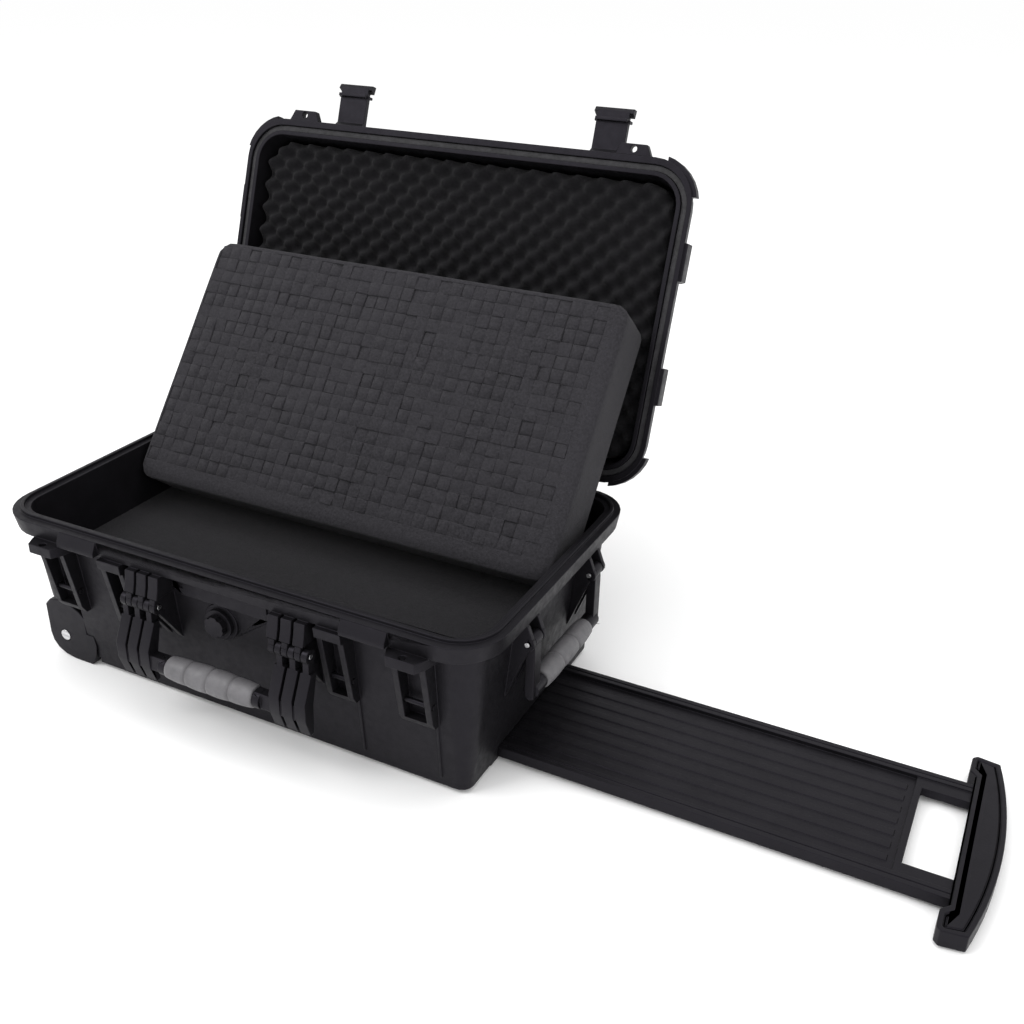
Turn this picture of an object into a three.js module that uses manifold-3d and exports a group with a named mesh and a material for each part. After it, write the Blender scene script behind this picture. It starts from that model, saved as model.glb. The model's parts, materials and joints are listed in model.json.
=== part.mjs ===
// Rolling hard case with a hinged lid, foam set, two handles, two wheels and a pull-out trolley.
// Millimetres. +X points to the trolley end, -Y to the latches, +Z up.
// The origin is on the floor, under the centre of the case. The lid is built closed and then opened.
import * as THREE from 'three';
import { mergeVertices } from 'three/addons/utils/BufferGeometryUtils.js';
import Module from 'manifold-3d';

const wasm = await Module();
wasm.setup();

// ---- Driving dimensions -------------------------------------------------------------------
const GAP = 0.4; // between pieces that touch or slide
const PIN_CLEARANCE = 0.35; // radial, around every hinge pin

const RIM_LENGTH = 545;
const RIM_WIDTH = 332;
const RIM_RADIUS = 46;
const RIM_TOP = 174; // height of the parting face
const RIM_DEPTH = 17;
const CAVITY_LENGTH = RIM_LENGTH - 32; // at the rim
const CAVITY_WIDTH = RIM_WIDTH - 36;
const CAVITY_RADIUS = 30;
const CAVITY_FLOOR_LENGTH = CAVITY_LENGTH - 33;
const CAVITY_FLOOR_WIDTH = CAVITY_WIDTH - 30;
const WALL = 4;
const SKIRT_BOTTOM = 11; // underside of the moulded floor
const SKIRT_RADIUS = 12; // the corners grow rounder towards the rim
const FLOOR_TOP = 22;

const LID_CAVITY_DEPTH = 46;
const LID_SKIN = 4.5;
const LID_RIM_DEPTH = 14;
const LID_DRAFT = 5; // each side, over the lid's height
const LID_RIB_HEIGHT = 2.5;
const LID_OPEN = 109.5; // degrees
const TONGUE_INSET = 6; // from the cavity's edge
const TONGUE_WIDTH = 3.5;
const TONGUE_HEIGHT = 3.2;
const SEAL_THICKNESS = 4;

const HINGE_RADIUS = 5;
const HINGE_STAND_OFF = 5.5; // from the rim's back edge to the hinge line
const HINGE_KNUCKLE = 14;
const HINGE_LENGTH = 60;
const HINGE_SPACING = RIM_LENGTH / 2 - 107.5;
const HINGE_PLACES = [-HINGE_SPACING, 0, HINGE_SPACING];
const PIN_RADIUS = 2.5;
const FIN_PIN = 2.5;

const PAD_THICKNESS = 23;
const LAYER_TOP = 113; // top of the lower foam layer
const BLOCK_THICKNESS = 58;
const BLOCK_TILT = 51.5; // degrees
const BLOCK_RADIUS = 16;
const LID_FOAM_THICKNESS = 40;

const LATCH_PLACE = RIM_LENGTH / 2 - 112.5; // from the middle
const LATCH_WIDTH = 40;
const LATCH_LENGTH = 55;
const LATCH_PIVOT_INSET = 4; // inside the rim's edge
const LATCH_PIVOT_UP = 23.6; // above the parting face
const LATCH_KNUCKLE = 5.5;
const LATCH_PLATE = 6;
const LATCH_PIN = 2;
const LATCH_OFFSET = 10; // from the pivot to the plate's inner face
const CATCH_REACH = 5.5; // outside the rim
const CATCH_HEIGHT = 14.5;
const HASP_WIDTH = 38;
const HASP_PLACE = LATCH_PLACE + (LATCH_WIDTH + HASP_WIDTH) / 2 + 2;
const HASP_REACH = 11; // outside the rim
const HASP_HOLE = 3.5;

const HANDLE_LUG_PLACE = 85;
const KNUCKLE_PITCH = 7;
const KNUCKLE_GAP = 0.7;
const FINGER_FLARE = 2.5; // extra width each side, away from the knuckles
const HANDLE_PIVOT_Z = 126;
const HANDLE_PIVOT_OUT = 3; // outside the rim's edge
const HANDLE_KNUCKLE = 7;
const HANDLE_DROP = 55;
const GRIP_OUT = 10; // in front of the pivot
const GRIP_RADIUS = 11;
const GRIP_LENGTH = 100;
const GRIP_CORE = 7;

const SIDE_LUG_PLACE = 68;
const SIDE_ARM_WIDTH = 14;
const SIDE_RIB = 5;
const SIDE_PIVOT_Z = 139;
const SIDE_PIVOT_INSET = 1.5;
const SIDE_DROP = 55;
const SIDE_GRIP_LENGTH = 100;
const SIDE_GRIP_RADIUS = 10;
const SIDE_CORE = 6;

const TROLLEY_WIDTH = RIM_WIDTH - 178;
const TROLLEY_HEIGHT = 11.2;
const TROLLEY_BOTTOM = 4;
const TROLLEY_RAIL = 11;
const TROLLEY_WEB = 5;
const TROLLEY_INNER_END = RIM_LENGTH / 2 - 117.5; // pulled out
const TROLLEY_OUTER_END = RIM_LENGTH / 2 + 373.5;
const TROLLEY_RIBS = 7;
const TROLLEY_RIB_HEIGHT = 1;
const WINDOW_LENGTH = 42;
const WINDOW_WIDTH = TROLLEY_WIDTH - 50;
const TGRIP_WIDTH = TROLLEY_WIDTH + 80;
const TGRIP_DEPTH = 32; // at the middle of the bow
const TGRIP_END_DEPTH = 17;
const TGRIP_LOBE = [24, 7]; // width and length of the ends that point back to the case
const TGRIP_HEIGHT = 16.5;
const TGRIP_BOTTOM = 1.5;
const COVER_THICKNESS = 3.5; // its underside is on the floor
const GUIDE_WALL = 10;

const WHEEL_RADIUS = 25;
const WHEEL_WIDTH = 20;
const WHEEL_X = 40.5 - RIM_LENGTH / 2;
const WHEEL_Z = WHEEL_RADIUS + 2;
const WHEEL_Y = RIM_WIDTH / 2 - 47;
const TYRE_THICKNESS = 8;
const AXLE_RADIUS = 3;
const HOUSING_LEFT = WHEEL_X - WHEEL_RADIUS + 3;
const HOUSING_RADIUS = WHEEL_RADIUS + 17;
const HOUSING_WALL = 10;
const FOOT_RADIUS = 12;
const FOOT_PLACE = [RIM_LENGTH / 2 - 57.5, RIM_WIDTH / 2 - 56];

const VALVE_STEM = 4;
const VALVE_PLACE = [-10, 115]; // x and height
const SCREW_RADIUS = 2;
const SCREW_HEAD = 4;
const SCREW_SPACING = RIM_LENGTH / 2 - 67.5; // from the middle

// ---- Worked-out sizes ---------------------------------------------------------------------
const outerBottom = [CAVITY_FLOOR_LENGTH + 2 * WALL - 2, CAVITY_FLOOR_WIDTH + 2 * WALL - 2];
const outerTop = [CAVITY_LENGTH + 2 * WALL, CAVITY_WIDTH + 2 * WALL];
const lidBottom = RIM_TOP + 0.6;
const lidCavityTop = lidBottom + LID_CAVITY_DEPTH;
const lidTop = lidCavityTop + LID_SKIN;
const hingeY = RIM_WIDTH / 2 + HINGE_STAND_OFF;
const hingeZ = RIM_TOP + 0.3;
const front = -RIM_WIDTH / 2;
const latchPivot = [front + LATCH_PIVOT_INSET, RIM_TOP + LATCH_PIVOT_UP];
const catchDrop = LATCH_PIVOT_UP + CATCH_HEIGHT; // from the latch pivot to the catch's underside
const handlePivot = [front - HANDLE_PIVOT_OUT, HANDLE_PIVOT_Z];
const sidePivot = [RIM_LENGTH / 2 - SIDE_PIVOT_INSET, SIDE_PIVOT_Z];
const trayTop = TROLLEY_BOTTOM + TROLLEY_HEIGHT + 0.6;
const trayHalf = TROLLEY_WIDTH / 2 + 1;
const trayEnd = -outerBottom[0] / 2 + 5;
const coverTop = COVER_THICKNESS;
const wellWall = 3.5;
const wellX = WHEEL_X + WHEEL_RADIUS + 6; // inner end of the wheel recess
const wellY = WHEEL_Y - WHEEL_WIDTH / 2 - HOUSING_WALL - 0.6;
const wellTop = WHEEL_Z + WHEEL_RADIUS + 20;
const housingEnd = Math.abs(WHEEL_X) - Math.sqrt(HOUSING_RADIUS ** 2 - 2) - 1;

// half length or half width of the moulded body at a height
function bodyHalf(axis, z) {
  const share = (z - SKIRT_BOTTOM) / (RIM_TOP - SKIRT_BOTTOM);
  return (outerBottom[axis] + (outerTop[axis] - outerBottom[axis]) * share) / 2;
}

function cavityHalf(axis, z) {
  const low = axis === 0 ? CAVITY_FLOOR_LENGTH : CAVITY_FLOOR_WIDTH;
  const high = axis === 0 ? CAVITY_LENGTH : CAVITY_WIDTH;
  return (low + (high - low) * (z - FLOOR_TOP) / (RIM_TOP - FLOOR_TOP)) / 2;
}

// ---- Solids from three.js geometry ---------------------------------------------------------
function solid(geometry) {
  const bare = geometry.clone();
  bare.deleteAttribute('normal');
  bare.deleteAttribute('uv');
  const merged = mergeVertices(bare, 1e-4);
  return new wasm.Manifold(new wasm.Mesh({
    numProp: 3,
    vertProperties: new Float32Array(merged.attributes.position.array),
    triVerts: new Uint32Array(merged.index.array),
  }));
}

function box(x0, x1, y0, y1, z0, z1) {
  const geometry = new THREE.BoxGeometry(Math.abs(x1 - x0), Math.abs(y1 - y0), Math.abs(z1 - z0));
  geometry.translate((x0 + x1) / 2, (y0 + y1) / 2, (z0 + z1) / 2);
  return solid(geometry);
}

function cylinder(axis, at, from, to, radius, segments = 14) {
  const geometry = new THREE.CylinderGeometry(radius, radius, Math.abs(to - from), segments);
  const middle = (from + to) / 2;
  if (axis === 'x') geometry.rotateZ(Math.PI / 2).translate(middle, at[0], at[1]);
  if (axis === 'y') geometry.translate(at[0], middle, at[1]);
  if (axis === 'z') geometry.rotateX(Math.PI / 2).translate(at[0], at[1], middle);
  return solid(geometry);
}

function outline(points) {
  return new THREE.Shape(points.map(([a, b]) => new THREE.Vector2(a, b)));
}

function extrude(shape, depth, curveSegments = 4) {
  return new THREE.ExtrudeGeometry(shape, { depth, curveSegments, bevelEnabled: false });
}

// a shape drawn in Y and Z, pushed along X
function alongX(shape, x0, x1) {
  const geometry = extrude(shape, Math.abs(x1 - x0));
  geometry.applyMatrix4(new THREE.Matrix4().makeBasis(
    new THREE.Vector3(0, 1, 0), new THREE.Vector3(0, 0, 1), new THREE.Vector3(1, 0, 0)));
  geometry.translate(Math.min(x0, x1), 0, 0);
  return solid(geometry);
}

// a shape drawn in X and Z, pushed along Y
function alongY(shape, y0, y1) {
  const geometry = extrude(shape, Math.abs(y1 - y0));
  geometry.rotateX(Math.PI / 2).translate(0, Math.max(y0, y1), 0);
  return solid(geometry);
}

function alongZ(shape, z0, z1) {
  const geometry = extrude(shape, z1 - z0);
  geometry.translate(0, 0, z0);
  return solid(geometry);
}

function roundedRect(width, depth, radius) {
  const [x, y, r] = [width / 2, depth / 2, radius];
  const shape = new THREE.Shape();
  shape.moveTo(-x + r, -y);
  shape.lineTo(x - r, -y);
  shape.absarc(x - r, -y + r, r, -Math.PI / 2, 0, false);
  shape.lineTo(x, y - r);
  shape.absarc(x - r, y - r, r, 0, Math.PI / 2, false);
  shape.lineTo(-x + r, y);
  shape.absarc(-x + r, y - r, r, Math.PI / 2, Math.PI, false);
  shape.lineTo(-x, -y + r);
  shape.absarc(-x + r, -y + r, r, Math.PI, 1.5 * Math.PI, false);
  return shape;
}

// a rounded block whose sides lean from one size at z0 to another at z1
function drafted([w0, d0], [w1, d1], radius, z0, z1, topRadius = radius) {
  const geometry = extrude(roundedRect(w0, d0, radius), z1 - z0);
  const position = geometry.attributes.position;
  const moved = (v, half, topHalf) =>
    Math.sign(v) * (topHalf - topRadius + (Math.abs(v) - half + radius) * topRadius / radius);
  for (let i = 0; i < position.count; i++) {
    if (position.getZ(i) < (z1 - z0) / 2) continue;
    position.setX(i, moved(position.getX(i), w0 / 2, w1 / 2));
    position.setY(i, moved(position.getY(i), d0 / 2, d1 / 2));
  }
  geometry.translate(0, 0, z0);
  return solid(geometry);
}

// a rounded frame standing between two offsets from the cavity's edge
function rimRing(inner, outer, z0, z1) {
  const at = (offset) => roundedRect(CAVITY_LENGTH + 2 * offset, CAVITY_WIDTH + 2 * offset,
    CAVITY_RADIUS + offset);
  return alongZ(at(outer), z0, z1).subtract(alongZ(at(inner), z0 - 1, z1 + 1));
}

// a ring or disc turned about an axis along Y, from points of radius and height
function turned(points, segments = 18) {
  return solid(new THREE.LatheGeometry(points.map(([r, h]) => new THREE.Vector2(r, h)), segments));
}

function union(parts) {
  return parts.reduce((all, part) => all.add(part));
}

function pair([a, b]) {
  return a < b ? [a, b] : [b, a];
}

// ---- The scene -----------------------------------------------------------------------------
const model = new THREE.Group();
const lidGroup = new THREE.Group();
lidGroup.position.set(0, hingeY, hingeZ);
lidGroup.rotation.x = -LID_OPEN * Math.PI / 180;
model.add(lidGroup);

const material = (color, roughness, metalness = 0) =>
  new THREE.MeshStandardMaterial({ color, roughness, metalness });
const shellPlastic = material(0x2c2a2e, 0.55);
const partPlastic = material(0x232226, 0.5);
const gripPlastic = material(0x77737a, 0.6);
const steel = material(0xb9bbbd, 0.3, 1);
const rubber = material(0x18181a, 0.85);
const darkFoam = material(0x2b2a2d, 0.95);
const foam = material(0x3d3a40, 0.95);

function place(name, body, look, parent = model) {
  const { vertProperties, triVerts } = body.getMesh();
  const geometry = new THREE.BufferGeometry();
  geometry.setAttribute('position', new THREE.BufferAttribute(new Float32Array(vertProperties), 3));
  geometry.setIndex(new THREE.BufferAttribute(new Uint32Array(triVerts), 1));
  if (parent === lidGroup) geometry.translate(0, -hingeY, -hingeZ);
  const mesh = new THREE.Mesh(geometry, look);
  mesh.name = name;
  parent.add(mesh);
}

const sides = [['left', -1], ['right', 1]];
const ends = [['front', -1], ['rear', 1]];

// ---- Base shell ----------------------------------------------------------------------------
const FIN = 6;
const latchSide = LATCH_PLACE - LATCH_WIDTH / 2;
const SHELF_FINS = [latchSide - 28, latchSide - 6]; // distances from the middle
const HASP_FINS = [HASP_PLACE - 14, HASP_PLACE + 14];
const finFoot = 74;
const finDepth = 11; // off the wall, at the foot
const finPin = [-bodyHalf(1, 100) - 6.5, 100];
const rimBottom = RIM_TOP - RIM_DEPTH;
const finFootProfile = [
  [-bodyHalf(1, finFoot) + 2, finFoot], [-bodyHalf(1, finFoot) - finDepth + 5, finFoot],
  [-bodyHalf(1, finFoot) - finDepth, finFoot + 8],
];

// a rib of the front wall that reaches out to the rim
function frontFin(x) {
  const profile = outline([
    ...finFootProfile, [front + 1, rimBottom - 10], [front + 1, rimBottom], [-bodyHalf(1, 145) + 3,
      rimBottom],
  ]);
  return alongX(profile, x - FIN / 2, x + FIN / 2);
}

// the floor of the pocket between two ribs, and the thin rib that runs on down the wall
function pocketFloor(side, [x0, x1]) {
  const floor = outline([...finFootProfile, [-bodyHalf(1, finFoot + 8) + 2, finFoot + 8]]);
  const line = outline([
    [-bodyHalf(1, 14) + 1, 14], [-bodyHalf(1, 14) - 1.6, 14],
    [-bodyHalf(1, finFoot + 2) - 1.6, finFoot + 2], [-bodyHalf(1, finFoot + 2) + 1, finFoot + 2],
  ]);
  return alongX(floor, ...pair([side * (x0 - FIN / 2), side * (x1 + FIN / 2)]))
    .add(alongX(line, ...pair([side * (x1 + FIN / 2 - 2.4), side * (x1 + FIN / 2)])));
}

// the sloped shelf between two ribs, under the rim
function finShelf(side, [x0, x1]) {
  const profile = outline([
    [-bodyHalf(1, 140) + 2, 138], [front - 2, rimBottom - 10], [front - 3, rimBottom],
    [-bodyHalf(1, 145) + 3, rimBottom],
  ]);
  return alongX(profile, ...pair([side * (x0 - FIN / 2), side * (x1 + FIN / 2)]));
}

function finPinSpan(side, [x0, x1], extra) {
  return pair([side * (x0 - FIN / 2 - extra), side * (x1 + FIN / 2 + extra)]);
}

// the sloped tab that a latch hooks under
function catchTab(side) {
  const profile = outline([
    [front + 6, RIM_TOP - 0.5], [front - 0.5, RIM_TOP - 0.5], [front - CATCH_REACH,
      RIM_TOP - CATCH_HEIGHT + 5],
    [front - CATCH_REACH, RIM_TOP - CATCH_HEIGHT], [front + 6, RIM_TOP - CATCH_HEIGHT],
  ]);
  const half = LATCH_WIDTH / 2 + 3;
  return alongX(profile, ...pair([side * (LATCH_PLACE - half), side * (LATCH_PLACE + half)]));
}

function haspTab(side, z0, z1, pocketed) {
  const [root, tip, half] = [front + 16, front - HASP_REACH, HASP_WIDTH / 2];
  const plan = outline([
    [-half - 4, root], [-half, front - 1], [-half + 5, tip], [half - 5, tip], [half, front - 1],
      [half + 4, root],
  ]);
  const hole = cylinder('z', [side * HASP_PLACE, front - HASP_REACH + 5], z0 - 1, z1 + 1, HASP_HOLE, 20);
  const tab = alongZ(plan, z0, z1).translate([side * HASP_PLACE, 0, 0]);
  return pocketed ? tab.subtract(hole) : tab;
}

function knuckleSpans(side, first) {
  return [0, 1, 2].map((i) => {
    const start = HANDLE_LUG_PLACE + (first + 2 * i - 3) * KNUCKLE_PITCH;
    return pair([side * (start + KNUCKLE_GAP / 2), side * (start + KNUCKLE_PITCH - KNUCKLE_GAP / 2)]);
  });
}

// three vertical ribs with eyes for the front handle's pin
function handleLug(side) {
  const [y, z] = handlePivot;
  const profile = outline([
    [-bodyHalf(1, 78) + 2, 78], [-bodyHalf(1, 78) - 1, 80], [y - 1, z - HANDLE_KNUCKLE + 1],
    [y - HANDLE_KNUCKLE + 1, z + 4], [y - 2, z + 18], [y, RIM_TOP - RIM_DEPTH],
    [-bodyHalf(1, 150) + 3, RIM_TOP - RIM_DEPTH],
  ]);
  const upper = outline([
    [-bodyHalf(1, 130) + 2, z + 10], [y - 5, z + 10], [y - 2, z + 20], [y, rimBottom],
    [-bodyHalf(1, 145) + 3, rimBottom],
  ]);
  return union(knuckleSpans(side, 0).map(([x0, x1]) =>
    alongX(profile, x0, x1)
      .add(alongX(upper, x0 - FINGER_FLARE, x1 + FINGER_FLARE))
      .add(cylinder('x', [y, z], x0, x1, HANDLE_KNUCKLE))));
}

function sideLugRibs(end) {
  const inner = SIDE_LUG_PLACE - SIDE_ARM_WIDTH / 2 - KNUCKLE_GAP;
  const outer = SIDE_LUG_PLACE + SIDE_ARM_WIDTH / 2 + KNUCKLE_GAP;
  return [[inner - SIDE_RIB, inner], [outer, outer + SIDE_RIB]].map((span) =>
    pair(span.map((y) => end * y)));
}

function sideLug(end) {
  const [x, z] = sidePivot;
  const profile = outline([
    [bodyHalf(0, 78) - 2, 78], [bodyHalf(0, 78) + 1, 78], [x + 1, z - 7], [x + 5, z + 5],
    [x, RIM_TOP - RIM_DEPTH], [bodyHalf(0, 150) - 3, RIM_TOP - RIM_DEPTH],
  ]);
  return union(sideLugRibs(end).map(([y0, y1]) =>
    alongY(profile, y0, y1).add(cylinder('y', [x, z], y0, y1, HANDLE_KNUCKLE))));
}

function hingeKnuckle(x0, x1, onLid) {
  const web = onLid
    ? box(x0, x1, RIM_WIDTH / 2 - 5, hingeY, hingeZ + 1.4, hingeZ + 10)
    : box(x0, x1, RIM_WIDTH / 2 - 5, hingeY, hingeZ - 12, hingeZ - 0.8);
  const eye = cylinder('x', [hingeY, hingeZ], x0, x1, HINGE_RADIUS);
  return web.add(eye);
}

function hingeBore(place) {
  return cylinder('x', [hingeY, hingeZ], place - HINGE_LENGTH, place + HINGE_LENGTH,
    PIN_RADIUS + PIN_CLEARANCE, 12);
}

const valveSeat = -bodyHalf(1, VALVE_PLACE[1]) - 3;

function valveBoss() {
  return cylinder('y', VALVE_PLACE, valveSeat, valveSeat + 10, 19, 24);
}

// shallow raised panel between the handle lugs, with two square notches
function centrePanel() {
  const half = HANDLE_LUG_PLACE - 24;
  const panel = alongY(outline([
    [-half, 143], [-half + 12, 136], [half - 12, 136], [half, 143],
    [half, RIM_TOP - RIM_DEPTH], [-half, RIM_TOP - RIM_DEPTH],
  ]), -bodyHalf(1, 163) - 2.5, -bodyHalf(1, 163) + 8);
  const notch = (x) => box(x - 5, x + 5, -bodyHalf(1, 163) - 6, -bodyHalf(1, 163) - 0.6, 143, 153);
  return panel.subtract(notch(half - 8)).subtract(notch(8 - half));
}

function backRib(x) {
  const profile = outline([
    [bodyHalf(1, 30) - 2, 30], [bodyHalf(1, 150) - 3, RIM_TOP - RIM_DEPTH],
    [bodyHalf(1, 163) + 8, RIM_TOP - RIM_DEPTH], [bodyHalf(1, 60) + 6, 60],
  ]);
  return alongX(profile, x - 4, x + 4);
}

function leftRib(y) {
  const profile = outline([
    [-bodyHalf(0, 90) + 2, 90], [-bodyHalf(0, 90) - 5, 96],
    [-bodyHalf(0, 163) - 6, RIM_TOP - RIM_DEPTH], [-bodyHalf(0, 150) + 3, RIM_TOP - RIM_DEPTH],
  ]);
  return alongY(profile, y - 4, y + 4);
}

// a box around one wheel recess; grow > 0 makes it larger on its inner sides
function wheelRecess(end, grow) {
  const [y0, y1] = pair([end * (wellY - grow), end * 200]);
  return box(-RIM_LENGTH, wellX + grow, y0, y1, -20, wellTop + grow);
}

function baseShell() {
  const body = drafted(outerBottom, outerTop, SKIRT_RADIUS, SKIRT_BOTTOM, RIM_TOP, CAVITY_RADIUS + WALL);
  const [skirtLength, skirtWidth] = outerBottom;
  let skirt = alongZ(roundedRect(skirtLength, skirtWidth, SKIRT_RADIUS), coverTop + 0.9, SKIRT_BOTTOM + 1)
    .subtract(alongZ(roundedRect(skirtLength - 2 * WALL, skirtWidth - 2 * WALL, SKIRT_RADIUS - WALL),
      0, SKIRT_BOTTOM));
  for (const [, e] of ends) {
    skirt = skirt.subtract(box(-RIM_LENGTH, WHEEL_X + HOUSING_RADIUS,
      ...pair([e * wellY, e * RIM_WIDTH]), 0, SKIRT_BOTTOM));
  }
  const cavity = drafted([CAVITY_FLOOR_LENGTH, CAVITY_FLOOR_WIDTH], [CAVITY_LENGTH, CAVITY_WIDTH],
    CAVITY_RADIUS, FLOOR_TOP, RIM_TOP);
  const mouth = alongZ(roundedRect(CAVITY_LENGTH, CAVITY_WIDTH, CAVITY_RADIUS), RIM_TOP - 0.01,
    RIM_TOP + 9);
  const rim = drafted([RIM_LENGTH - 5, RIM_WIDTH - 5], [RIM_LENGTH, RIM_WIDTH], RIM_RADIUS,
    RIM_TOP - RIM_DEPTH, RIM_TOP);
  const tongue = rimRing(TONGUE_INSET, TONGUE_INSET + TONGUE_WIDTH, RIM_TOP - 1, RIM_TOP + TONGUE_HEIGHT);
  const guideEnd = bodyHalf(0, SKIRT_BOTTOM) - 1.5;
  const guide = box(-guideEnd, guideEnd, -trayHalf - GUIDE_WALL, trayHalf + GUIDE_WALL,
    coverTop + 0.3, SKIRT_BOTTOM + 2);
  const hinges = HINGE_PLACES.flatMap((x) => [
    hingeKnuckle(x - HINGE_LENGTH / 2, x - HINGE_LENGTH / 2 + HINGE_KNUCKLE, false),
    hingeKnuckle(x + HINGE_LENGTH / 2 - HINGE_KNUCKLE, x + HINGE_LENGTH / 2, false),
  ]);
  let shell = union([
    body, skirt, rim, tongue, guide, valveBoss(), centrePanel(),
    ...sides.flatMap(([, s]) => [
      ...SHELF_FINS.map((x) => frontFin(s * x)), ...HASP_FINS.map((x) => frontFin(s * x)),
      finShelf(s, SHELF_FINS), pocketFloor(s, SHELF_FINS), pocketFloor(s, HASP_FINS), catchTab(s),
        handleLug(s),
      haspTab(s, RIM_TOP - RIM_DEPTH - 9, RIM_TOP - RIM_DEPTH + 1, false),
      backRib(s * 80), backRib(s * 180),
    ]),
    ...ends.flatMap(([, e]) => [sideLug(e), leftRib(e * 45)]),
    ...hinges,
  ]);
  shell = shell.subtract(cavity).subtract(mouth);
  for (const [, e] of ends) {
    const well = wheelRecess(e, wellWall).intersect(body);
    shell = shell.add(well).subtract(wheelRecess(e, 0));
  }
  shell = shell.subtract(box(trayEnd, 400, -trayHalf, trayHalf, -5, trayTop));
  for (const x of HINGE_PLACES) shell = shell.subtract(hingeBore(x));
  for (const [, s] of sides) {
    for (const fins of [SHELF_FINS, HASP_FINS]) {
      shell = shell.subtract(cylinder('x', finPin, ...finPinSpan(s, fins, 3), FIN_PIN + PIN_CLEARANCE, 12));
    }
    shell = shell
      .subtract(cylinder('x', handlePivot, ...pinSpan(s), PIN_RADIUS + PIN_CLEARANCE, 12))
      .subtract(cylinder('z', [s * HASP_PLACE, front - HASP_REACH + 5], 140, 166, HASP_HOLE, 16));
  }
  for (const [, e] of ends) {
    shell = shell.subtract(cylinder('y', sidePivot, ...sidePinSpan(e, 3), PIN_RADIUS + PIN_CLEARANCE, 12));
  }
  for (const [x, y] of screwPlaces) {
    shell = shell.subtract(cylinder('z', [x, y], 0, 10, SCREW_RADIUS + 0.4, 8));
  }
  return shell
    .subtract(cylinder('y', VALVE_PLACE, valveSeat - 1, valveSeat + 4.5, VALVE_STEM + 1.5, 20));
}

function pinSpan(side) {
  return pair([side * (HANDLE_LUG_PLACE - 3 * KNUCKLE_PITCH - 3),
    side * (HANDLE_LUG_PLACE + 3 * KNUCKLE_PITCH + 3)]);
}

function sidePinSpan(end, extra) {
  const half = SIDE_ARM_WIDTH / 2 + KNUCKLE_GAP + SIDE_RIB;
  return pair([end * (SIDE_LUG_PLACE - half - extra), end * (SIDE_LUG_PLACE + half + extra)]);
}

const screwPlaces = [-SCREW_SPACING, SCREW_SPACING].flatMap((x) =>
  [-1, 1].map((e) => [x, e * (trayHalf + GUIDE_WALL / 2)]));

place('base_shell', baseShell(), shellPlastic);

// ---- Pins, screws and feet -----------------------------------------------------------------
HINGE_PLACES.forEach((x, i) => {
  const pin = cylinder('x', [hingeY, hingeZ], x - HINGE_LENGTH / 2 + 0.5, x + HINGE_LENGTH / 2 - 0.5,
    PIN_RADIUS, 12);
  place(`hinge_pin_${['left', 'middle', 'right'][i]}`, pin, steel);
});

for (const [name, s] of sides) {
  const half = 3 * KNUCKLE_PITCH;
  const span = pair([s * (HANDLE_LUG_PLACE - half), s * (HANDLE_LUG_PLACE + half)]);
  place(`front_handle_pin_${name}`, cylinder('x', handlePivot, ...span, PIN_RADIUS, 12), steel);
}

for (const [name, s] of sides) {
  for (const [at, fins] of [['inner', SHELF_FINS], ['outer', HASP_FINS]]) {
    place(`rib_pin_${name}_${at}`, cylinder('x', finPin, ...finPinSpan(s, fins, 0.8), FIN_PIN, 12),
      partPlastic);
  }
}

for (const [name, e] of ends) {
  place(`side_handle_pin_${name}`, cylinder('y', sidePivot, ...sidePinSpan(e, 0.8), PIN_RADIUS, 12), steel);
  const foot = cylinder('z', [FOOT_PLACE[0], e * FOOT_PLACE[1]], 0, SKIRT_BOTTOM - GAP, FOOT_RADIUS, 20);
  place(`foot_${name}`, foot, rubber);
}

function coverScrew([x, y]) {
  const head = cylinder('z', [x, y], 0.4, 1.6, SCREW_HEAD, 12);
  return head.add(cylinder('z', [x, y], 1.3, 9.6, SCREW_RADIUS, 8));
}

screwPlaces.forEach((at, i) => place(`cover_screw_${i + 1}`, coverScrew(at), steel));

// ---- Trolley -------------------------------------------------------------------------------
function trolleyCover() {
  const [x0, x1] = [-bodyHalf(0, SKIRT_BOTTOM) + 1.5, bodyHalf(0, SKIRT_BOTTOM) - 1.5];
  const half = trayHalf + GUIDE_WALL;
  let cover = box(x0, x1, -half, half, 0, coverTop);
  for (const [x, y] of screwPlaces) {
    cover = cover
      .subtract(cylinder('z', [x, y], -1, 6, SCREW_RADIUS + 0.4, 8))
      .subtract(cylinder('z', [x, y], -1, 2, SCREW_HEAD + 0.5, 12));
  }
  return cover;
}

const railHalf = TROLLEY_WIDTH / 2;
const trolleyTop = TROLLEY_BOTTOM + TROLLEY_HEIGHT;
const windowEnd = TROLLEY_OUTER_END - WINDOW_LENGTH;

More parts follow.
